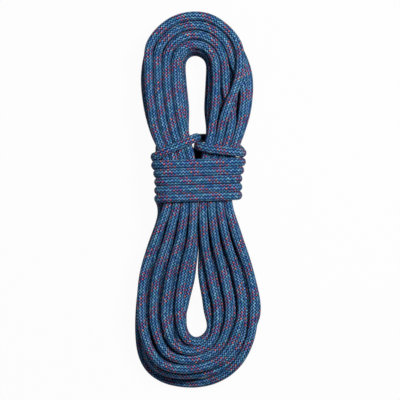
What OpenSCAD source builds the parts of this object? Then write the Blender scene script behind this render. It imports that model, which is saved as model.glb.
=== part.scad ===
// Dynamic climbing rope, put away as a wrapped hank that lies on its back.
// +Y runs along the hank towards its shorter upper loop and +Z points away from the ground.
// The rope is one continuous line: it starts at end A on the ground, lays five flat layers
// of four turns each, comes down to the ground round the lower fold, wraps the waist five
// times, locks through the upper loop and stops at end B behind the neck. Both ends show
// what the woven sheath holds inside.

/* [Rope] */
// Diameter of the rope over its sheath
rope_d = 9.8; // [8.9:0.1:10.6]
// Wall of the woven sheath
sheath_wall = 1.1; // [0.9:0.05:1.3]

/* [Core] */
// How closely the plied core strands fill the sheath, where 1 would press them together
core_fill = 0.96; // [0.88:0.01:0.97]
// Width of the marker tape laid beside the core
tape_w = 1.4; // [0.8:0.1:1.8]
// Thickness of the marker tape
tape_t = 0.12; // [0.08:0.01:0.14]

/* [Ends] */
// Length of the straight stretch at each end that shows the core
end_length = 26; // [22:1:30]
// Length of the shrunk sleeve over each end
sleeve_length = 19; // [12:1:20]
// How far the sleeve stands proud of the sheath
sleeve_proud = 0.3; // [0.2:0.05:0.4]
// Length of the fused plug that closes each end
seal_length = 3; // [2:0.5:5]
// Rounding of the fused plug's rim
seal_round = 1.2; // [0.5:0.1:1.6]

/* [Hank] */
// Room between the wraps and the turns that they hold
wrap_gap = 0.1; // [0.05:0.05:0.3]
// How far neighbouring wraps press into each other
wrap_press = 0.5; // [0.2:0.1:0.6]
// Room between one layer of turns and the next
layer_gap = 0.2; // [0.15:0.05:0.5]

/* [Hidden] */

// Colours of the rope's pieces
sheath_blue = "#2f5f9e";
wrap_blue = "#35689f";
bight_blue = "#2b5690";
core_white = "#eeeae0";
tape_yellow = "#e8c33a";
sleeve_black = "#20242c";
seal_navy = "#1c2c50";

// The hank's shape is drawn for a 9.8 mm rope, and a thicker rope makes a larger hank
drawn_d = 9.8;
grow = rope_d / drawn_d;
// The origin lies on the ground, under the middle of the hank's box
middle = [2, -1, 0] * grow;

// The winding
turns_per_layer = 4;
wraps = 5;
layers = 5;
turns = turns_per_layer * layers;
last_lane = turns_per_layer - 1;
mid_layer = (layers - 1) / 2;
layer_pitch = rope_d + layer_gap;
sides = 8;

// One turn passes these stations, clockwise from the left of the waist. Each holds the
// place of the innermost lane and of the outermost one: [[inner x, y], [outer x, y]].
guide = [
    [[-2.5, 24], [-30.6, 24]],
    [[-6.4, 50], [-34.9, 50]],
    [[-12.5, 74], [-46, 75]],
    [[-15.5, 104], [-54, 105]],
    [[-18.5, 134], [-57, 140]],
    [[-18, 157.5], [-50, 176]],
    [[-7.5, 168.5], [-23, 201]],
    [[6.5, 168], [13, 203.5]],
    [[17, 157], [42, 181]],
    [[18.5, 134], [58, 143]],
    [[17, 104], [57.5, 105]],
    [[16, 74], [49, 74]],
    [[11.5, 50], [39.7, 50]],
    [[7.5, 24], [35.6, 24]],
    [[7.5, -4], [35.6, -4]],
    [[7.6, -38], [46, -38]],
    [[12, -85], [60.5, -83]],
    [[19.5, -120], [65.5, -122]],
    [[19.5, -147], [57.5, -160]],
    [[7.5, -160.5], [29, -190]],
    [[-7.5, -160.5], [-18, -198]],
    [[-18, -147], [-52, -182]],
    [[-17.5, -120], [-61, -134]],
    [[-10.5, -86], [-59, -85]],
    [[-3, -38], [-44.5, -38]],
    [[-2.5, -4], [-30.8, -4]]
];
stations = len(guide);
// The zone of each station: 0 upper fold, 1 upper arms, 2 waist, 3 lower arms, 4 lower fold,
// 5 upper neck, and the lower neck on the 6 right and 7 left
zone = [2, 2, 5, 1, 1, 0, 0, 0, 0, 1, 1, 5, 2, 2, 2, 6, 3, 3, 4, 4, 4, 4, 3, 3, 7, 2];
// How wide each layer spreads in each zone, from the layer on the ground upwards
spread = [
    [0.93, 0.84, 1, 0.76, 0.85, 0.95, 0.84, 0.8],
    [0.9, 0.92, 1, 0.92, 0.87, 0.96, 0.95, 0.95],
    [0.96, 1, 1, 1, 0.82, 1, 0.9, 1],
    [0.84, 0.88, 1, 0.86, 0.82, 0.95, 0.93, 0.95],
    [0.88, 0.78, 1, 0.9, 0.82, 0.92, 0.92, 0.92]
];
// How far each layer's lanes are shifted outwards in each zone, in lanes
shift = [
    [0, 0, 0, 0.1, 0.1, 0, 0.4, 0],
    [-0.2, -0.25, 0, -0.32, 0.1, 0, 0.05, -0.05],
    [0, 0, 0, 0, 0, 0, 0.35, 0],
    [0.1, 0, 0, -0.3, 0.1, 0, 0.15, -0.2],
    [0.4, 0.4, 0, 0.3, 0.1, 0.1, 0.1, 0.1]
];
// A turn moves to its next lane while it passes the lower fold
change_from = 17;
change_to = 22;
// A turn that changes layer swings this far clear of its neighbour, in lanes
change_swing = 0.34;
change_ease = 1.2;
// The lane of each turn of the top layer on the left arm and on the right one, and the
// stations between which it crosses. The outermost one passes over two others.
top_lanes = [[0, 0], [1, 2], [3, 1], [2, 3]];
top_crosses = [[8.2, 10.7], [9.3, 10.6], [8.2, 10.7], [8.4, 9.8]];
cross_up = [7.5, 8.5];
cross_down = [10.3, 11.2];
first_top_turn = turns - turns_per_layer;
// A turn has a ring at each station, and one halfway between them round both folds and
// where the top layer crosses
half_step = 0.5;
upper_fold = [4, 9];
crossing = [9, 12];
lower_fold = [17, 22];
// The last strand leaves the last turn at this station, and end A starts at the other one
leave_at = 16.5;
enter_at = 23;

// The waist is lifted clear of the ground by the wraps beneath it
waist_left = guide[0][1].x;
waist_right = guide[13][1].x;
waist_x = (waist_right + waist_left) / 2;
waist_half = (waist_right - waist_left) / 2;
wrap_bend = 14 * grow;
corner_room = (wrap_bend - rope_d - wrap_gap) * (1 - cos(45));
wrap_half_w = waist_half * grow + rope_d + wrap_gap + corner_room;
wrap_half_h = mid_layer * layer_pitch + rope_d + wrap_gap + corner_room;
wrap_z = rope_d / 2 + wrap_half_h;
wrap_top = wrap_z + wrap_half_h;
lift = wrap_z - mid_layer * layer_pitch - rope_d / 2;
crown = corner_room - wrap_gap;
wrap_pitch = rope_d - wrap_press;
// The wraps start here, and above wrap_flare_y they widen with the neck
wrap_y = 1;
wrap_flare = 4;
wrap_flare_y = 22;
wrap_steps = 20;
wrap_first = -0.05;
wrap_last = wraps + 0.1;
// Between these distances from the middle, the hank comes down from its waist to the ground
upper_ramp = [70, 150];
lower_ramp = [-12, -92];

// The last strand leaves the top layer, comes down round the outside of the lower fold,
// runs up the left arm on the ground and climbs the left of the waist: [x, y, height],
// where a height of 0 lies on the ground and 1 lies on top of the waist
lead = [
    [64.5, -122, 0.645],
    [61.5, -150, 0.64],
    [52.5, -173, 0.6],
    [41.5, -187.5, 0.51],
    [28.5, -197.5, 0.38],
    [14, -204, 0.23],
    [-2, -207, 0.1],
    [-18, -206.5, 0.03],
    [-34, -203, 0],
    [-48, -195, 0],
    [-57, -184, 0],
    [-62, -170, 0],
    [-64, -152, 0],
    [-64, -132, 0],
    [-62.5, -112, 0],
    [-60, -92, 0],
    [-56, -72, 0],
    [-51.5, -56, 0],
    [-47, -43, 0],
    [-42.5, -31, 0],
    [-39.5, -21, 0],
    [-38.5, -12.5, 0.02],
    [-39.5, -5, 0.1]
];
// The bight that locks the hank: left over the neck, down through the upper loop,
// right behind the neck, back over it, and down through the loop again
bight = [
    [-40.5, 51, 0.985],
    [-31, 55, 1.03],
    [-22, 59, 1.035],
    [-13.5, 63, 1.03],
    [-3.6, 67.4, 0.967],
    [0.5, 69.2, 0.813],
    [0.5, 69.4, 0.617],
    [0.6, 69.4, 0.42],
    [1, 69.5, 0.225],
    [5.2, 69.9, 0.066],
    [15.5, 70.2, 0],
    [26.5, 69, 0],
    [36.5, 65.5, 0.005],
    [45.2, 60.8, 0.02],
    [50.8, 55.2, 0.13],
    [51.3, 53, 0.3],
    [51.3, 52.5, 0.49],
    [51.3, 52.5, 0.68],
    [50, 52.6, 0.86],
    [45, 53, 0.98],
    [37, 53.8, 1.03],
    [28, 55, 1.035],
    [17.5, 56, 1.035],
    [7.6, 58.4, 0.99],
    [2.8, 60, 0.84],
    [2.4, 60, 0.617],
    [2.6, 56.4, 0.42],
    [3, 52.4, 0.24],
    [2.6, 53, 0.08],
    [-4, 55, 0]
];

// The ends: a straight stretch, its start and its heading
end_z = rope_d / 2 + sleeve_proud;
end_a_heading = 259;
end_a_start = [-10.5 * grow, -86 * grow, end_z] - middle;
end_b_heading = 180;
end_b_start = [-17 * grow, 56.5 * grow, end_z] - middle;
bore_d = rope_d - 2 * sheath_wall;
sleeve_d = rope_d + 2 * sleeve_proud;
// The flat tape keeps this room from the bore, which its edges take up
tape_room = 0.16;
tape_x = bore_d / 2 - tape_room - tape_t;
// The core: three strands in the middle and nine round them. No outer strand lies
// right over an inner one, and the tape lies over the gap between two outer ones.
inner_strands = 3;
outer_strands = 9;
core_play = 0.03;
outer_step = 360 / outer_strands;
strand_d = core_fill * tape_x / 2;
inner_ring = (strand_d / 2 + core_play) / sin(180 / inner_strands);
outer_ring = tape_x - strand_d / 2;
tape_angle = 2 * outer_step;
fine = 48;
// How far a cutting cylinder runs past both faces
past = 1;

// Goes from 0 to 1 without a corner at either end
function ease(t) = let (u = min(max(t, 0), 1)) u * u * (3 - 2 * u);

function mix(a, b, t) = a + (b - a) * t;

// A point on a smooth curve through four points, between the second and the third
function through(a, b, c, d, t) =
    0.5 * (2 * b + (c - a) * t + (2 * a - 5 * b + 4 * c - d) * t * t
        + (3 * b - a - 3 * c + d) * t * t * t);

// How far the hank is lifted at y, from 0 on the ground to 1 at the waist
function lifted(y) =
    y > wrap_y
    ? 1 - ease((y - upper_ramp[0]) / (upper_ramp[1] - upper_ramp[0]))
    : 1 - ease((y - lower_ramp[0]) / (lower_ramp[1] - lower_ramp[0]));

function guide_at(s, edge) =
    let (i = floor(s), t = s - i)
    through(
        guide[(i + stations - 1) % stations][edge],
        guide[i % stations][edge],
        guide[(i + 1) % stations][edge],
        guide[(i + 2) % stations][edge],
        t);

// The value of a layer at station s, from a table that has one for each zone
function by_zone(table, layer, s) =
    let (i = floor(s))
    mix(table[layer][zone[i % stations]], table[layer][zone[(i + 1) % stations]], ease(s - i));

// A turn's lanes on the left arm and on the right one. Layers wind outwards and inwards by turns.
function layer_of(turn) = floor(turn / turns_per_layer);
function lanes_of(turn) =
    let (
        j = turn % turns_per_layer,
        lane = layer_of(turn) % 2 == 0 ? j : last_lane - j
    )
    turn >= first_top_turn ? top_lanes[j] : [lane, lane];

// How far a turn of the top layer has crossed to its lane on the right arm
function crossed(turn, s) =
    let (span = top_crosses[turn % turns_per_layer])
    turn < first_top_turn ? 0 : ease((s - span[0]) / (span[1] - span[0]));

// How high the turn that crosses over its neighbours stands on them
function crossing_rise(turn, s) =
    turn < first_top_turn || lanes_of(turn)[0] <= lanes_of(turn)[1]
    ? 0
    : layer_pitch * ease((s - cross_up[0]) / (cross_up[1] - cross_up[0]))
        * ease((cross_down[1] - s) / (cross_down[1] - cross_down[0]));

// The centre of the rope at station s of a turn
function turn_point(turn, s) =
    let (
        lanes = lanes_of(turn),
        following = min(turn + 1, turns - 1),
        next_layer = layer_of(following),
        t = ease((s - change_from) / (change_to - change_from)),
        rises = next_layer != layer_of(turn) ? 1 : 0,
        swing = ease((s - change_from + change_ease) / (2 * change_ease))
            * ease((change_to + change_ease - s) / (2 * change_ease)),
        side = lanes[1] > 0 ? 1 : -1,
        lane = mix(mix(lanes[0], lanes[1], crossed(turn, s)), lanes_of(following)[0], t)
            + rises * side * swing * change_swing,
        k = mix(layer_of(turn), next_layer, t),
        below = floor(k),
        above = min(below + 1, layers - 1),
        wide = mix(by_zone(spread, below, s), by_zone(spread, above, s), k - below),
        shifted = mix(by_zone(shift, below, s), by_zone(shift, above, s), k - below),
        share = (lane + shifted) / last_lane * wide,
        p = mix(guide_at(s, 0), guide_at(s, 1), share)
    )
    [p.x * grow, p.y * grow, turn_height(k, p) + crossing_rise(turn, s)] - middle;

// The layers bow apart in the middle of the waist, where the wraps stand off them
function turn_height(k, p) =
    let (
        off = min(abs(p.x - waist_x) / waist_half, 1),
        bow = crown * (k - mid_layer) / mid_layer * (1 - off * off)
    )
    rope_d / 2 + k * layer_pitch + lifted(p.y) * (lift + bow);

// A wrap is a rounded rectangle, walked from the middle of its left side over the top
function wrap_half_at(y) =
    wrap_half_w + wrap_flare * grow * ease((y - wrap_flare_y) / wrap_flare_y);

function wrap_point(s) =
    let (
        y = wrap_y + wrap_pitch / grow * s,
        flat = 2 * (wrap_half_at(y) - wrap_bend),
        side = 2 * (wrap_half_h - wrap_bend),
        bend = wrap_bend * PI / 2,
        loop = 2 * (flat + side + 2 * bend),
        walked = (s - floor(s)) * loop + side / 2,
        half = walked > loop / 2 + side / 2 ? -1 : 1,
        w = walked > loop / 2 + side / 2 ? walked - loop / 2 : walked,
        turned = 90 * (min(max((w - side) / bend, 0), 1)
            + min(max((w - side - bend - flat) / bend, 0), 1)),
        up = min(w, side) - side / 2 + wrap_bend * sin(min(turned, 90))
            + wrap_bend * (turned > 90 ? cos(turned - 90) - 1 : 0)
            - max(w - side - 2 * bend - flat, 0),
        along = wrap_bend * (1 - cos(min(turned, 90)))
            + min(max(w - side - bend, 0), flat)
            + (turned > 90 ? wrap_bend * sin(turned - 90) : 0)
    )
    [
        waist_x * grow + half * (along - flat / 2 - wrap_bend) - middle.x,
        y * grow - middle.y,
        wrap_z + half * up
    ];

function placed(p) = [p.x * grow, p.y * grow, mix(rope_d / 2, wrap_top, p.z)] - middle;

function heading(angle) = [cos(angle), sin(angle), 0];

function inside(s, span) = s > span[0] && s < span[1];

function steps_of(turn) = [
    for (s = [0:half_step:stations - half_step])
        if (s == floor(s) || inside(s, upper_fold) || inside(s, lower_fold)
            || turn >= first_top_turn && inside(s, crossing)) s
];

// The three stretches of the rope's centre line. Each starts where the last one stopped.
turns_line = concat(
    [end_a_start],
    [for (s = [enter_at + half_step:half_step:stations - half_step])
        let (p = guide_at(s, 0)) [p.x * grow, p.y * grow, turn_height(0, p)] - middle],
    [for (turn = [0:turns - 2], s = steps_of(turn)) turn_point(turn, s)],
    [for (s = steps_of(turns - 1)) if (s < leave_at) turn_point(turns - 1, s)],
    [for (p = lead) placed(p)]
);
wraps_line = concat(
    [placed(lead[len(lead) - 1])],
    [for (s = [wrap_first:1 / wrap_steps:wrap_last]) wrap_point(s)]
);
bight_line = concat(
    [wraps_line[len(wraps_line) - 1]],
    [for (p = bight) placed(p)],
    [end_b_start]
);
// The directions in which the rope passes from one stretch into the next
onto_waist = unit(wraps_line[1] - turns_line[len(turns_line) - 2]);
into_bight = unit(bight_line[1] - wraps_line[len(wraps_line) - 2]);

function unit(v) = v / norm(v);

// The direction of a line at its point i, or the given one at an end
function direction(line, i, first, last) =
    i == 0 ? first
        : i == len(line) - 1 ? last
        : unit(unit(line[i + 1] - line[i]) + unit(line[i] - line[i - 1]));

function square_to(v, axis) = unit(v - (v * axis) * axis);

// A swept tube. Its rings stay square to the line and don't twist round it.
module tube(line, first, last) {
    ahead = [for (i = [0:len(line) - 1]) direction(line, i, first, last)];
    start = square_to([0, 0, 1], ahead[0]);
    across = [
        for (i = 0, v = start; i < len(line);
            i = i + 1, v = i < len(line) ? square_to(v, ahead[i]) : v) v
    ];
    points = [
        for (i = [0:len(line) - 1], j = [0:sides - 1])
            let (angle = 360 * (j + 0.5) / sides)
            line[i] + rope_d / 2 * (cos(angle) * across[i] + sin(angle) * cross(ahead[i], across[i]))
    ];
    last_ring = (len(line) - 1) * sides;
    faces = concat(
        [[for (j = [0:sides - 1]) j]],
        [
            for (i = [0:len(line) - 2], j = [0:sides - 1])
                let (a = i * sides + j, b = i * sides + (j + 1) % sides)
                [a, a + sides, b + sides, b]
        ],
        [[for (j = [sides - 1:-1:0]) last_ring + j]]
    );
    polyhedron(points, faces);
}

module coil_turns() {
    color(sheath_blue) tube(turns_line, -heading(end_a_heading), onto_waist);
}

module waist_wraps() {
    color(wrap_blue) tube(wraps_line, onto_waist, into_bight);
}

module locking_bight() {
    color(bight_blue) tube(bight_line, into_bight, heading(end_b_heading));
}

// Lays a piece that is drawn along +Z from the ground plane at one end of the rope
module at_end(start, angle) {
    translate(start) rotate([0, 90, angle]) children();
}

module at_end_a() {
    at_end(end_a_start, end_a_heading) children();
}

module at_end_b() {
    at_end(end_b_start, end_b_heading) children();
}

module sheath_end() {
    difference() {
        cylinder(h = end_length, d = rope_d, $fn = fine);
        translate([0, 0, -past]) cylinder(h = end_length + 2 * past, d = bore_d, $fn = fine);
    }
}

module sheath_end_a() {
    color(sheath_blue) at_end_a() sheath_end();
}

module sheath_end_b() {
    color(sheath_blue) at_end_b() sheath_end();
}

// One strand of the core, as it lies at either end of the rope
module core_strand(ring, angle) {
    color(core_white) {
        at_end_a() strand(ring, angle);
        at_end_b() strand(ring, angle);
    }
}

module strand(ring, angle) {
    rotate(angle) translate([ring, 0, 0]) cylinder(h = end_length, d = strand_d, $fn = fine);
}

module inner_strand(i) {
    core_strand(inner_ring, i * 360 / inner_strands);
}

module outer_strand(i) {
    core_strand(outer_ring, (i + 0.5) * outer_step);
}

module marker_tape() {
    color(tape_yellow) {
        at_end_a() tape();
        at_end_b() tape();
    }
}

module tape() {
    rotate(tape_angle) translate([tape_x, -tape_w / 2, 0]) cube([tape_t, tape_w, end_length]);
}

module end_sleeve() {
    translate([0, 0, end_length - sleeve_length]) difference() {
        cylinder(h = sleeve_length, d = sleeve_d, $fn = fine);
        translate([0, 0, -past]) cylinder(h = sleeve_length + 2 * past, d = rope_d, $fn = fine);
    }
}

module end_sleeve_a() {
    color(sleeve_black) at_end_a() end_sleeve();
}

module end_sleeve_b() {
    color(sleeve_black) at_end_b() end_sleeve();
}

module end_seal() {
    inner = rope_d / 2 - seal_round;
    neck = seal_length - seal_round;
    translate([0, 0, end_length]) rotate_extrude($fn = fine) {
        square([rope_d / 2, neck]);
        square([inner, seal_length]);
        translate([inner, neck]) intersection() {
            circle(seal_round, $fn = fine);
            square(seal_round);
        }
    }
}

module end_seal_a() {
    color(seal_navy) at_end_a() end_seal();
}

module end_seal_b() {
    color(seal_navy) at_end_b() end_seal();
}

coil_turns();
waist_wraps();
locking_bight();
sheath_end_a();
sheath_end_b();
inner_strand(0);  // core_strand_01
inner_strand(1);  // core_strand_02
inner_strand(2);  // core_strand_03
outer_strand(0);  // core_strand_04
outer_strand(1);  // core_strand_05
outer_strand(2);  // core_strand_06
outer_strand(3);  // core_strand_07
outer_strand(4);  // core_strand_08
outer_strand(5);  // core_strand_09
outer_strand(6);  // core_strand_10
outer_strand(7);  // core_strand_11
outer_strand(8);  // core_strand_12
marker_tape();
end_sleeve_a();
end_sleeve_b();
end_seal_a();
end_seal_b();
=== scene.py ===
import math

import bpy
import numpy as np
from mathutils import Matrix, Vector

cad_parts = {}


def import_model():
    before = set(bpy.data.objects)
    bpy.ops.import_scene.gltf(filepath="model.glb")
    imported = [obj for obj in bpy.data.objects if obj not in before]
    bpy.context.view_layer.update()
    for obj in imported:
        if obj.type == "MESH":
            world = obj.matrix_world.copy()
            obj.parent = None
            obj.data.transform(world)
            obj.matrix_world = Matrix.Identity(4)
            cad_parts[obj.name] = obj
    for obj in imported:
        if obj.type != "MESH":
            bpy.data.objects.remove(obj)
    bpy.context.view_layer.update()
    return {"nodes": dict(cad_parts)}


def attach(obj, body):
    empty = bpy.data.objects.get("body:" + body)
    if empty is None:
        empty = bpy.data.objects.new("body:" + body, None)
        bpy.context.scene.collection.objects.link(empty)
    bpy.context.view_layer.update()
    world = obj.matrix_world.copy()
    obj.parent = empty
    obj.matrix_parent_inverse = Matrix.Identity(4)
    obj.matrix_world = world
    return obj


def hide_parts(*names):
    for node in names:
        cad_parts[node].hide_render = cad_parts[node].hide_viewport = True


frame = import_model()

# ---------------------------------------------------------------- sizes, in millimetres
# The hank's shape repeats the CAD model's, with the same names and values.

MM = 0.001
ROPE_D = 9.8
# How far a sleeve stands proud of the rope, and how long each straight end is
SLEEVE_PROUD = 0.3
END_LENGTH = 26
# The room between the waist and its wraps, how far two wraps press into each other, and
# the room between two layers
WRAP_GAP = 0.1
WRAP_PRESS = 0.5
LAYER_GAP = 0.2
# The middle of the hank's points, which the frame has at 0
MIDDLE = np.array([2, -1, 0])

TURNS_PER_LAYER = 4
WRAPS = 5
LAYERS = 5
TURNS = TURNS_PER_LAYER * LAYERS
FIRST_TOP_TURN = TURNS - TURNS_PER_LAYER
LAST_LANE = TURNS_PER_LAYER - 1
MID_LAYER = (LAYERS - 1) / 2
LAYER_PITCH = ROPE_D + LAYER_GAP

# One turn passes these stations, clockwise from the left of the waist. Each holds the
# place of the innermost lane and of the outermost one.
GUIDE = np.array([
    [[-2.5, 24], [-30.6, 24]],
    [[-6.4, 50], [-34.9, 50]],
    [[-12.5, 74], [-46, 75]],
    [[-15.5, 104], [-54, 105]],
    [[-18.5, 134], [-57, 140]],
    [[-18, 157.5], [-50, 176]],
    [[-7.5, 168.5], [-23, 201]],
    [[6.5, 168], [13, 203.5]],
    [[17, 157], [42, 181]],
    [[18.5, 134], [58, 143]],
    [[17, 104], [57.5, 105]],
    [[16, 74], [49, 74]],
    [[11.5, 50], [39.7, 50]],
    [[7.5, 24], [35.6, 24]],
    [[7.5, -4], [35.6, -4]],
    [[7.6, -38], [46, -38]],
    [[12, -85], [60.5, -83]],
    [[19.5, -120], [65.5, -122]],
    [[19.5, -147], [57.5, -160]],
    [[7.5, -160.5], [29, -190]],
    [[-7.5, -160.5], [-18, -198]],
    [[-18, -147], [-52, -182]],
    [[-17.5, -120], [-61, -134]],
    [[-10.5, -86], [-59, -85]],
    [[-3, -38], [-44.5, -38]],
    [[-2.5, -4], [-30.8, -4]],
])
STATIONS = len(GUIDE)
# The zone of each station: 0 upper fold, 1 upper arms, 2 waist, 3 lower arms, 4 lower fold,
# 5 upper neck, and the lower neck on the 6 right and 7 left
ZONE = [2, 2, 5, 1, 1, 0, 0, 0, 0, 1, 1, 5, 2, 2, 2, 6, 3, 3, 4, 4, 4, 4, 3, 3, 7, 2]
# How wide each layer spreads in each zone, from the layer on the ground upwards
SPREAD = [
    [0.93, 0.84, 1, 0.76, 0.85, 0.95, 0.84, 0.8],
    [0.9, 0.92, 1, 0.92, 0.87, 0.96, 0.95, 0.95],
    [0.96, 1, 1, 1, 0.82, 1, 0.9, 1],
    [0.84, 0.88, 1, 0.86, 0.82, 0.95, 0.93, 0.95],
    [0.88, 0.78, 1, 0.9, 0.82, 0.92, 0.92, 0.92],
]
# How far each layer's lanes are shifted outwards in each zone, in lanes
SHIFT = [
    [0, 0, 0, 0.1, 0.1, 0, 0.4, 0],
    [-0.2, -0.25, 0, -0.32, 0.1, 0, 0.05, -0.05],
    [0, 0, 0, 0, 0, 0, 0.35, 0],
    [0.1, 0, 0, -0.3, 0.1, 0, 0.15, -0.2],
    [0.4, 0.4, 0, 0.3, 0.1, 0.1, 0.1, 0.1],
]
# Between these stations a turn moves to the lane of the next one. Where that one is in the
# next layer, it swings out by this part of a lane, and eases in and out over these stations.
CHANGE_FROM = 17
CHANGE_TO = 22
CHANGE_SWING = 0.34
CHANGE_EASE = 1.2
# The lane of each turn of the top layer on the left arm and on the right one, and the
# stations between which it crosses. The outermost one passes over two others.
TOP_LANES = [[0, 0], [1, 2], [3, 1], [2, 3]]
TOP_CROSSES = [[8.2, 10.7], [9.3, 10.6], [8.2, 10.7], [8.4, 9.8]]
# Where it climbs onto them and comes down again
CROSS_UP = (7.5, 8.5)
CROSS_DOWN = (10.3, 11.2)
# The stations where the last turn leaves the hank and the first one enters it
LEAVE_AT = 16.5
ENTER_AT = 23

WAIST_X = (GUIDE[0][1][0] + GUIDE[13][1][0]) / 2
WAIST_HALF = (GUIDE[13][1][0] - GUIDE[0][1][0]) / 2
# The radius of a wrap's corners at the middle of the rope, and how far they make it stand
# off the waist
WRAP_BEND = 14
CORNER_ROOM = (WRAP_BEND - ROPE_D - WRAP_GAP) * (1 - math.cos(math.radians(45)))
WRAP_HALF_W = WAIST_HALF + ROPE_D + WRAP_GAP + CORNER_ROOM
WRAP_HALF_H = MID_LAYER * LAYER_PITCH + ROPE_D + WRAP_GAP + CORNER_ROOM
WRAP_Z = ROPE_D / 2 + WRAP_HALF_H
WRAP_TOP = WRAP_Z + WRAP_HALF_H
# How far the waist is lifted off the ground, and how far its outer layers bow out
LIFT = WRAP_Z - MID_LAYER * LAYER_PITCH - ROPE_D / 2
CROWN = CORNER_ROOM - WRAP_GAP
# The wraps climb along Y from the first one, and flare out from a place on
WRAP_PITCH = ROPE_D - WRAP_PRESS
WRAP_Y = 1
WRAP_FLARE = 4
WRAP_FLARE_Y = 22
WRAP_FIRST = -0.05
WRAP_LAST = WRAPS + 0.1
# Where along Y the hank comes down to the ground, above the waist and below it
UPPER_RAMP = (70, 150)
LOWER_RAMP = (-12, -92)

# The last strand leaves the top layer, comes down round the outside of the lower fold,
# runs up the left arm on the ground and climbs the left of the waist: x, y and height,
# where a height of 0 lies on the ground and 1 lies on top of the waist
LEAD = [
    [64.5, -122, 0.645],
    [61.5, -150, 0.64],
    [52.5, -173, 0.6],
    [41.5, -187.5, 0.51],
    [28.5, -197.5, 0.38],
    [14, -204, 0.23],
    [-2, -207, 0.1],
    [-18, -206.5, 0.03],
    [-34, -203, 0],
    [-48, -195, 0],
    [-57, -184, 0],
    [-62, -170, 0],
    [-64, -152, 0],
    [-64, -132, 0],
    [-62.5, -112, 0],
    [-60, -92, 0],
    [-56, -72, 0],
    [-51.5, -56, 0],
    [-47, -43, 0],
    [-42.5, -31, 0],
    [-39.5, -21, 0],
    [-38.5, -12.5, 0.02],
    [-39.5, -5, 0.1],
]
# The bight that locks the hank: left over the neck, down through the upper loop,
# right behind the neck, back over it, and down through the loop again
BIGHT = [
    [-40.5, 51, 0.985],
    [-31, 55, 1.03],
    [-22, 59, 1.035],
    [-13.5, 63, 1.03],
    [-3.6, 67.4, 0.967],
    [0.5, 69.2, 0.813],
    [0.5, 69.4, 0.617],
    [0.6, 69.4, 0.42],
    [1, 69.5, 0.225],
    [5.2, 69.9, 0.066],
    [15.5, 70.2, 0],
    [26.5, 69, 0],
    [36.5, 65.5, 0.005],
    [45.2, 60.8, 0.02],
    [50.8, 55.2, 0.13],
    [51.3, 53, 0.3],
    [51.3, 52.5, 0.49],
    [51.3, 52.5, 0.68],
    [50, 52.6, 0.86],
    [45, 53, 0.98],
    [37, 53.8, 1.03],
    [28, 55, 1.035],
    [17.5, 56, 1.035],
    [7.6, 58.4, 0.99],
    [2.8, 60, 0.84],
    [2.4, 60, 0.617],
    [2.6, 56.4, 0.42],
    [3, 52.4, 0.24],
    [2.6, 53, 0.08],
    [-4, 55, 0],
]
# The two ends: where each begins, and the direction in degrees in which it points
END_Z = ROPE_D / 2 + SLEEVE_PROUD
END_A_HEADING = 259
END_A = np.array([-10.5, -86, END_Z]) - MIDDLE
END_B_HEADING = 180
END_B = np.array([-17, 56.5, END_Z]) - MIDDLE

# The route is worked out with this many points from each station or listed point to
# the next, and with this many times more in each wrap.
STEPS = 8
WRAP_STEPS = 20
SOFTENINGS = 4
# The drawn rope: rings along it and sides round it
RING_STEP = 2.5
SIDES = 24


# ---------------------------------------------------------------- the rope's route

def ease(t):
    u = min(max(t, 0.0), 1.0)
    return u * u * (3 - 2 * u)


def mix(a, b, t):
    return a + (b - a) * t


def through(a, b, c, d, t):
    """A point on a smooth curve through four points, between the second and the third."""
    return 0.5 * (2 * b + (c - a) * t + (2 * a - 5 * b + 4 * c - d) * t * t
                  + (3 * b - a - 3 * c + d) * t * t * t)


def guide_at(s, edge):
    i = math.floor(s)
    a, b, c, d = (GUIDE[(i + k) % STATIONS][edge] for k in (-1, 0, 1, 2))
    return through(a, b, c, d, s - i)


def by_zone(table, layer, s):
    """The value of a layer at station s, from a table that has one for each zone."""
    i = math.floor(s)
    here, there = ZONE[i % STATIONS], ZONE[(i + 1) % STATIONS]
    return mix(table[layer][here], table[layer][there], ease(s - i))


def lanes_of(turn):
    """A turn's lane on the left arm and on the right one. Every other layer winds inwards."""
    layer, place = divmod(turn, TURNS_PER_LAYER)
    if layer == LAYERS - 1:
        return TOP_LANES[place]
    lane = place if layer % 2 == 0 else LAST_LANE - place
    return [lane, lane]


def crossed(turn, s):
    """How far a turn of the top layer has crossed to its lane on the right arm."""
    if turn < FIRST_TOP_TURN:
        return 0
    start, end = TOP_CROSSES[turn % TURNS_PER_LAYER]
    return ease((s - start) / (end - start))


def crossing_rise(turn, s):
    """How high the turn that crosses over its neighbours stands on them."""
    left, right = lanes_of(turn)
    if turn < FIRST_TOP_TURN or left <= right:
        return 0
    up = ease((s - CROSS_UP[0]) / (CROSS_UP[1] - CROSS_UP[0]))
    return LAYER_PITCH * up * ease((CROSS_DOWN[1] - s) / (CROSS_DOWN[1] - CROSS_DOWN[0]))


def lifted(y):
    """How far the hank is lifted at y, from 0 on the ground to 1 at the waist."""
    start, end = UPPER_RAMP if y > WRAP_Y else LOWER_RAMP
    return 1 - ease((y - start) / (end - start))


def turn_height(layer, p):
    """The layers bow apart in the middle of the waist, where the wraps stand off them."""
    off = min(abs(p[0] - WAIST_X) / WAIST_HALF, 1)
    bow = CROWN * (layer - MID_LAYER) / MID_LAYER * (1 - off * off)
    return ROPE_D / 2 + layer * LAYER_PITCH + lifted(p[1]) * (LIFT + bow)


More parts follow.
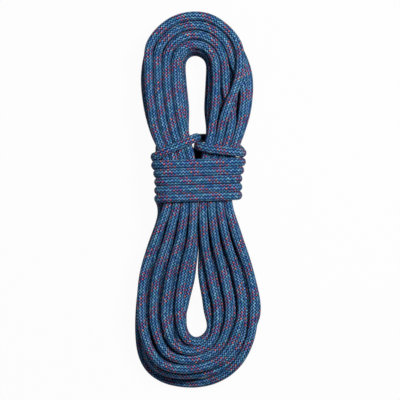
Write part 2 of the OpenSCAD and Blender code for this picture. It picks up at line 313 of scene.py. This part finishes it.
def turn_point(turn, s):
    """The centre of the rope at station s of a turn."""
    layer = turn // TURNS_PER_LAYER
    following = min(turn + 1, TURNS - 1)
    next_layer = following // TURNS_PER_LAYER
    t = ease((s - CHANGE_FROM) / (CHANGE_TO - CHANGE_FROM))
    swing = ease((s - CHANGE_FROM + CHANGE_EASE) / (2 * CHANGE_EASE))
    swing *= ease((CHANGE_TO + CHANGE_EASE - s) / (2 * CHANGE_EASE))
    left, right = lanes_of(turn)
    side = 1 if right > 0 else -1
    rises = 1 if next_layer != layer else 0
    lane = mix(mix(left, right, crossed(turn, s)), lanes_of(following)[0], t)
    lane += rises * side * swing * CHANGE_SWING
    k = mix(layer, next_layer, t)
    below = math.floor(k)
    above = min(below + 1, LAYERS - 1)
    wide = mix(by_zone(SPREAD, below, s), by_zone(SPREAD, above, s), k - below)
    shifted = mix(by_zone(SHIFT, below, s), by_zone(SHIFT, above, s), k - below)
    share = (lane + shifted) / LAST_LANE * wide
    x, y = mix(guide_at(s, 0), guide_at(s, 1), share)
    return np.array([x, y, turn_height(k, (x, y)) + crossing_rise(turn, s)]) - MIDDLE


def wrap_point(s):
    """A wrap is a rounded rectangle, walked from the middle of its left side over the top."""
    y = WRAP_Y + WRAP_PITCH * s
    half_w = WRAP_HALF_W + WRAP_FLARE * ease((y - WRAP_FLARE_Y) / WRAP_FLARE_Y)
    flat = 2 * (half_w - WRAP_BEND)
    side = 2 * (WRAP_HALF_H - WRAP_BEND)
    bend = WRAP_BEND * math.pi / 2
    loop = 2 * (flat + side + 2 * bend)
    walked = (s - math.floor(s)) * loop + side / 2
    over = walked > loop / 2 + side / 2
    half = -1 if over else 1
    w = walked - loop / 2 if over else walked
    first = min(max((w - side) / bend, 0), 1)
    second = min(max((w - side - bend - flat) / bend, 0), 1)
    quarter = math.pi / 2
    up = min(w, side) - side / 2 + WRAP_BEND * math.sin(first * quarter)
    up += WRAP_BEND * (math.cos(second * quarter) - 1) - max(w - side - 2 * bend - flat, 0)
    along = WRAP_BEND * (1 - math.cos(first * quarter)) + min(max(w - side - bend, 0), flat)
    along += WRAP_BEND * math.sin(second * quarter)
    x = WAIST_X + half * (along - flat / 2 - WRAP_BEND)
    return np.array([x, y, WRAP_Z + half * up]) - MIDDLE


def placed(p):
    """A listed point, with its height in millimetres."""
    return np.array([p[0], p[1], mix(ROPE_D / 2, WRAP_TOP, p[2])]) - MIDDLE


def heading(angle):
    return np.array([math.cos(math.radians(angle)), math.sin(math.radians(angle)), 0])


def curved(points, before, after):
    """A smooth curve through points, between the one before them and the one after them."""
    p = [before] + points + [after]
    spans = range(1, len(p) - 2)
    return [through(*p[i - 1:i + 3], k / STEPS) for i in spans for k in range(STEPS)]


def distance_along(line):
    """How far along the line each of its points lies."""
    pieces = np.linalg.norm(np.diff(line, axis=0), axis=1)
    return np.concatenate([[0], np.cumsum(pieces)])


def spaced(line, step):
    """The line with its points a step apart."""
    walked = distance_along(line)
    count = round(walked[-1] / step)
    places = np.linspace(0, walked[-1], count + 1)
    return np.stack([np.interp(places, walked, line[:, k]) for k in range(3)], axis=1)


def softened(line, times):
    """The line without the small corners that its stretches leave, its ends unmoved."""
    for _ in range(times):
        line[1:-1] = line[:-2] * 0.25 + line[1:-1] * 0.5 + line[2:] * 0.25
    return line


def rope_line():
    """The rope's whole centre line, from end A to end B."""
    tip_a = END_A + heading(END_A_HEADING) * END_LENGTH
    tip_b = END_B + heading(END_B_HEADING) * END_LENGTH
    step = 1 / STEPS
    lead_in = []
    for s in np.arange(ENTER_AT + step, STATIONS, step):
        x, y = guide_at(s, 0)
        lead_in.append(np.array([x, y, turn_height(0, (x, y))]) - MIDDLE)
    turns = []
    for turn in range(TURNS):
        leave = LEAVE_AT if turn == TURNS - 1 else STATIONS
        turns += [turn_point(turn, s) for s in np.arange(0, leave, step)]
    wraps = [wrap_point(s) for s in np.arange(WRAP_FIRST, WRAP_LAST, step / WRAP_STEPS)]
    lead = [turns[-1]] + [placed(p) for p in LEAD] + [wraps[0]]
    bight = [wraps[-1]] + [placed(p) for p in BIGHT] + [END_B]
    line = [tip_a, END_A] + lead_in + turns[:-1]
    line += curved(lead, turns[-1 - STEPS], wraps[STEPS]) + wraps[:-1]
    line += curved(bight, wraps[-1 - STEPS], tip_b) + [END_B, tip_b]
    line = softened(spaced(np.array(line), RING_STEP), SOFTENINGS)
    line[:, 2] = np.maximum(line[:, 2], ROPE_D / 2)
    return spaced(line, RING_STEP)


# ---------------------------------------------------------------- meshes

UV_NAME = "UVMap"


def unit(v):
    return v / np.linalg.norm(v, axis=-1, keepdims=True)


def square_to(line):
    """Two directions square to a line at each point, that don't twist along it."""
    ahead = np.empty_like(line)
    ahead[1:-1] = line[2:] - line[:-2]
    ahead[0] = line[1] - line[0]
    ahead[-1] = line[-1] - line[-2]
    ahead = unit(ahead)
    across = np.empty_like(line)
    v = np.array([0.0, 0.0, 1.0])
    for i, a in enumerate(ahead):
        v = unit(v - (v @ a) * a)
        across[i] = v
    return across, np.cross(ahead, across)


def new_object(name, points, faces, uvs, material):
    """A smooth mesh piece from points in millimetres, with one UV pair for each face corner."""
    mesh = bpy.data.meshes.new(name)
    mesh.from_pydata((points * MM).tolist(), [], faces)
    layer = mesh.uv_layers.new(name=UV_NAME)
    layer.data.foreach_set("uv", uvs.astype(np.float32).ravel())
    mesh.polygons.foreach_set("use_smooth", [True] * len(mesh.polygons))
    mesh.materials.append(material)
    mesh.update()
    piece = bpy.data.objects.new(name, mesh)
    bpy.context.scene.collection.objects.link(piece)
    return piece


def tube_mesh(line, radius, sides):
    """Points, faces and UVs of a tube. U runs round it from 0 to 1 and V along it in girths."""
    across, side = square_to(line)
    angle = (2 * np.pi * np.arange(sides) / sides)[None, :, None]
    ring = np.cos(angle) * across[:, None] + np.sin(angle) * side[:, None]
    points = (line[:, None] + radius * ring).reshape(-1, 3)
    rows, columns = len(line) - 1, np.arange(sides)
    a = (np.arange(rows)[:, None] * sides + columns).ravel()
    b = (np.arange(rows)[:, None] * sides + (columns + 1) % sides).ravel()
    faces = np.stack([a, b, b + sides, a + sides], axis=1)
    v = distance_along(line) / (2 * np.pi * radius)
    u0 = np.tile(columns / sides, rows)
    u1 = np.tile((columns + 1) / sides, rows)
    v0, v1 = np.repeat(v[:-1], sides), np.repeat(v[1:], sides)
    uvs = np.stack([u0, v0, u1, v0, u1, v1, u0, v1], axis=1).reshape(-1, 2)
    return points, faces.tolist(), uvs


def capped(points, faces, uvs, sides):
    """Closes both mouths of a tube with a flat face."""
    last = len(points) - sides
    faces = faces + [list(range(sides - 1, -1, -1)), list(range(last, last + sides))]
    return points, faces, np.vstack([uvs, np.zeros((2 * sides, 2))])


# ---------------------------------------------------------------- materials

# Where a Mix node has its factor and its two colours
COLOUR_MIX_INPUTS = (0, 6, 7)


class Field:
    """A number that varies over a surface. Sums with it become Math nodes."""

    def __init__(self, tree, socket):
        self.tree = tree
        self.socket = socket

    def do(self, operation, *others):
        node = self.tree.nodes.new("ShaderNodeMath")
        node.operation = operation
        for value, slot in zip((self,) + others, node.inputs):
            if isinstance(value, Field):
                self.tree.links.new(value.socket, slot)
            else:
                slot.default_value = value
        return Field(self.tree, node.outputs[0])

    def __add__(self, other):
        return self.do("ADD", other)

    def __sub__(self, other):
        return self.do("SUBTRACT", other)

    def __mul__(self, other):
        return self.do("MULTIPLY", other)

    def __mod__(self, other):
        return self.do("FLOORED_MODULO", other)

    def floor(self):
        return self.do("FLOOR")

    def below(self, other):
        return self.do("LESS_THAN", other)

    def power(self, other):
        return self.do("POWER", other)

    def either(self, yes, no):
        """yes where this field is 1 and no where it is 0."""
        return no + self * (yes - no)


def new_material(name, roughness, specular):
    material = bpy.data.materials.new(name)
    material.use_nodes = True
    shader = material.node_tree.nodes["Principled BSDF"]
    shader.inputs["Roughness"].default_value = roughness
    shader.inputs["Specular IOR Level"].default_value = specular
    return material, material.node_tree, shader


def linear(red, green, blue):
    """A colour from its sRGB screen values of 0 to 255, as the shaders want it."""
    parts = [c / 255 for c in (red, green, blue)]
    return tuple(((c + 0.055) / 1.055) ** 2.4 if c > 0.04 else c / 12.92 for c in parts) + (1,)


def ramp(tree, field, stops):
    """A colour ramp over a field. stops are (place, colour)."""
    node = tree.nodes.new("ShaderNodeValToRGB")
    while len(node.color_ramp.elements) < len(stops):
        node.color_ramp.elements.new(0.5)
    for element, (place, colour) in zip(node.color_ramp.elements, stops):
        element.position = place
        element.color = colour
    tree.links.new(field.socket, node.inputs["Fac"])
    return node.outputs["Color"]


def blended(tree, field, below, above):
    """One colour where the field is 0 and another where it is 1."""
    node = tree.nodes.new("ShaderNodeMix")
    node.data_type = "RGBA"
    sockets = [node.inputs[i] for i in COLOUR_MIX_INPUTS]
    for value, slot in zip((field, below, above), sockets):
        if isinstance(value, Field):
            tree.links.new(value.socket, slot)
        elif isinstance(value, bpy.types.NodeSocket):
            tree.links.new(value, slot)
        else:
            slot.default_value = value
    return node.outputs[2]


def random_of(tree, first, second):
    """An even random number for each pair of whole numbers."""
    join = tree.nodes.new("ShaderNodeCombineXYZ")
    tree.links.new(first.socket, join.inputs[0])
    tree.links.new(second.socket, join.inputs[1])
    node = tree.nodes.new("ShaderNodeTexWhiteNoise")
    node.noise_dimensions = "2D"
    tree.links.new(join.outputs[0], node.inputs["Vector"])
    return Field(tree, node.outputs["Value"])


def domed(part, sharpness):
    """How high a round yarn stands at a part of its width."""
    off = part * 2 - 1
    return (off * off * -1 + 1).do("MAXIMUM", 0).power(sharpness)


def raised(tree, shader, height, distance):
    """Gives a surface the relief of a field. distance is its full height in metres."""
    node = tree.nodes.new("ShaderNodeBump")
    node.inputs["Distance"].default_value = distance
    tree.links.new(height.socket, node.inputs["Height"])
    tree.links.new(node.outputs[0], shader.inputs["Normal"])


# The pairs of yarns in each of the two families
PAIRS = 8
# How far a yarn runs round the rope for each millimetre along it
BRAID_SLOPE = 1.08
# The relief of the weave, in metres
BRAID_RISE = 0.0007
# The fine fibres across one yarn, and their share of that relief
FIBRES = 10
FIBRE_RISE = 0.02
# How sharply a pair and each of its yarns rise across their widths
PAIR_DOME = 0.7
YARN_DOME = 0.5
# How much of a float's height is the roundness of its two yarns, how much is the arch
# along it, and how sharply the arch rises
YARN_SHARE = 0.6
ARCH_SHARE = 0.8
ARCH_DOME = 0.8
# Below 1, each float stands highest near the end where it dives under the other family
FLOAT_LEAN = 0.5
# Painted shade: the gaps between yarns are painted near-black, and this gives way to a yarn's own
# colour as the yarn rises out of them
UNSHADED_GAIN = 1.25
UNSHADED_POWER = 3.4
# The dark end of the grain on the rope's other materials
GRAIN_DARK = 0.7
# The coloured pairs of the right-handed family: coral on both sides of a violet one
TRACER_COLOURS = [(0, "coral"), (1, "violet"), (2, "coral")]
YARN_COLOURS = {
    "blue": [
        (0, linear(60, 118, 202)), (0.35, linear(86, 170, 214)),
        (0.7, linear(120, 170, 240)), (1, linear(144, 214, 246)),
    ],
    "coral": [(0, linear(172, 104, 154)), (0.4, linear(218, 120, 142)), (1, linear(242, 154, 150))],
    "violet": [(0, linear(128, 96, 164)), (1, linear(182, 130, 188))],
}
# Painted shade for the gaps between yarns, not a colour of the rope
GAP_PAINTED_SHADE = linear(2, 10, 46)


def braid():
    """The sheath: two families of yarns, laid in pairs, that cross one over and one under."""
    material, tree, shader = new_material("braided_sheath", roughness=0.75, specular=0.12)
    uv = tree.nodes.new("ShaderNodeUVMap")
    uv.uv_map = UV_NAME
    split = tree.nodes.new("ShaderNodeSeparateXYZ")
    tree.links.new(uv.outputs[0], split.inputs[0])
    around = Field(tree, split.outputs[0]) * PAIRS
    along = Field(tree, split.outputs[1]) * (PAIRS * BRAID_SLOPE)
    left = around - along
    right = around + along
    left_pair = left.floor()
    right_pair = right.floor()
    left_part = left - left_pair
    right_part = right - right_pair
    left_over = ((left_pair + right_pair) % 2).below(0.5)
    # Where a point lies across the pair on top, and how far along its float
    part = left_over.either(left_part, right_part)
    run = left_over.either(right_part, left_part * -1 + 1)

    yarn_part = (part * 2) % 1
    crown = domed(yarn_part, YARN_DOME)
    arch = (run.power(FLOAT_LEAN) * math.pi).do("SINE").do("MAXIMUM", 0).power(ARCH_DOME)
    height = domed(part, PAIR_DOME) * (crown * YARN_SHARE + (1 - YARN_SHARE))
    height *= arch * ARCH_SHARE + (1 - ARCH_SHARE)
    fibre = (yarn_part * (2 * math.pi * FIBRES)).do("SINE") * FIBRE_RISE
    raised(tree, shader, height + fibre, BRAID_RISE)

    tone = random_of(tree, left_pair, right_pair)
    colour = ramp(tree, tone, YARN_COLOURS["blue"])
    for number, name in TRACER_COLOURS:
        traced = (left_pair % PAIRS).do("COMPARE", number, 0.5) * left_over
        colour = blended(tree, traced, colour, ramp(tree, tone, YARN_COLOURS[name]))
    # Painted shade: the base colour darkens towards the painted gap shade where the weave's relief
    # is low
    unshaded = (height * UNSHADED_GAIN).do("MINIMUM", 1).power(UNSHADED_POWER)
    tree.links.new(blended(tree, unshaded, GAP_PAINTED_SHADE, colour), shader.inputs["Base Color"])
    return material


def plain(name, colour, roughness, grain, rise):
    """A moulded or spun surface with a fine grain."""
    material, tree, shader = new_material(name, roughness, specular=0.4)
    noise = tree.nodes.new("ShaderNodeTexNoise")
    noise.inputs["Scale"].default_value = grain
    place = tree.nodes.new("ShaderNodeTexCoord")
    tree.links.new(place.outputs["Object"], noise.inputs["Vector"])
    field = Field(tree, noise.outputs["Fac"])
    darker = tuple(c * GRAIN_DARK for c in colour[:3]) + (1,)
    tree.links.new(blended(tree, field, darker, colour), shader.inputs["Base Color"])
    raised(tree, shader, field, rise)
    return material


# ---------------------------------------------------------------- pieces

CORE_STRANDS = [f"core_strand_{i:02d}" for i in range(1, 13)]
SLEEVES = ["end_sleeve_a", "end_sleeve_b"]
SEALS = ["end_seal_a", "end_seal_b"]


def rope(material):
    """The whole sheath, from end to end, as one round tube along the rope's line."""
    line = rope_line()
    points, faces, uvs = capped(*tube_mesh(line, ROPE_D / 2, SIDES), SIDES)
    piece = new_object("rope", points, faces, uvs, material)
    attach(piece, "root")
    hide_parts("coil_turns", "waist_wraps", "locking_bight", "sheath_end_a", "sheath_end_b")


def paint(nodes, material):
    """Gives nodes of the frame a material in place of their own."""
    for name in nodes:
        data = frame["nodes"][name].data
        data.materials.clear()
        data.materials.append(material)


# ---------------------------------------------------------------- the stage

# The camera looks straight down, and its view is this wide at the height of this place
CAMERA_HEIGHT = 2500
VIEW_WIDTH = 445.44
VIEW_AT = Vector((2.45, 1, 45))
# How far the camera sees and how wide the floor is, in metres
CAMERA_REACH = 20
FLOOR_SIZE = 8
FLOOR_GREY = (0.6, 0.6, 0.6, 1)
WHITE = (1, 1, 1, 1)
# How much of the floor's own shade gives way to white where it shows
FLOOR_GLOW = 0.96
# How strongly the world lights the hank. The world itself shows as white.
SKY_LIGHT = 0.03


def camera():
    data = bpy.data.cameras.new("camera")
    data.angle = 2 * math.atan(VIEW_WIDTH / 2 / (CAMERA_HEIGHT - VIEW_AT.z))
    data.clip_end = CAMERA_REACH
    seen = bpy.data.objects.new("camera", data)
    seen.location = (VIEW_AT.x * MM, VIEW_AT.y * MM, CAMERA_HEIGHT * MM)
    bpy.context.scene.collection.objects.link(seen)
    bpy.context.scene.camera = seen


def lamp(name, place, size, watts):
    """A round soft lamp that shines on the middle of the hank."""
    data = bpy.data.lights.new(name, "AREA")
    data.shape = "DISK"
    data.size = size
    data.energy = watts
    light = bpy.data.objects.new(name, data)
    light.location = place
    light.rotation_euler = (-Vector(place)).to_track_quat("-Z", "Y").to_euler()
    bpy.context.scene.collection.objects.link(light)


def seen_directly(tree):
    """1 for rays that show the backdrop itself, in the view or in a reflection."""
    path = tree.nodes.new("ShaderNodeLightPath")
    camera_ray = Field(tree, path.outputs["Is Camera Ray"])
    glossy = Field(tree, path.outputs["Is Glossy Ray"])
    clear = Field(tree, path.outputs["Is Transmission Ray"])
    return camera_ray.do("MAXIMUM", glossy).do("MAXIMUM", clear)


def world():
    sky = bpy.data.worlds.new("studio")
    bpy.context.scene.world = sky
    sky.use_nodes = True
    tree = sky.node_tree
    background = tree.nodes["Background"]
    background.inputs["Color"].default_value = WHITE
    strength = seen_directly(tree) * (1 - SKY_LIGHT) + SKY_LIGHT
    tree.links.new(strength.socket, background.inputs["Strength"])


def floor():
    bpy.ops.mesh.primitive_plane_add(size=FLOOR_SIZE)
    ground = bpy.context.object
    ground.name = "floor"
    material, tree, shader = new_material("pale_floor", roughness=0.9, specular=0)
    shader.inputs["Base Color"].default_value = FLOOR_GREY
    glow = tree.nodes.new("ShaderNodeEmission")
    joined = tree.nodes.new("ShaderNodeMixShader")
    share = seen_directly(tree) * FLOOR_GLOW
    tree.links.new(share.socket, joined.inputs[0])
    tree.links.new(shader.outputs[0], joined.inputs[1])
    tree.links.new(glow.outputs[0], joined.inputs[2])
    tree.links.new(joined.outputs[0], tree.nodes["Material Output"].inputs["Surface"])
    ground.data.materials.append(material)


camera()
rope(braid())
paint(CORE_STRANDS, plain("core_yarn", linear(238, 234, 224), 0.7, grain=900, rise=0.0002))
paint(["marker_tape"], plain("tape_film", linear(232, 195, 58), 0.4, grain=300, rise=0.00002))
paint(SLEEVES, plain("shrunk_film", linear(32, 36, 44), 0.42, grain=500, rise=0.00006))
paint(SEALS, plain("fused_end", linear(28, 44, 80), 0.3, grain=700, rise=0.00015))
floor()
world()
lamp("key", place=(0.5, 0.36, 1.4), size=0.42, watts=22.8)
lamp("fill", place=(-0.6, -0.3, 1.8), size=1, watts=2)

bpy.context.scene.view_settings.view_transform = "Standard"
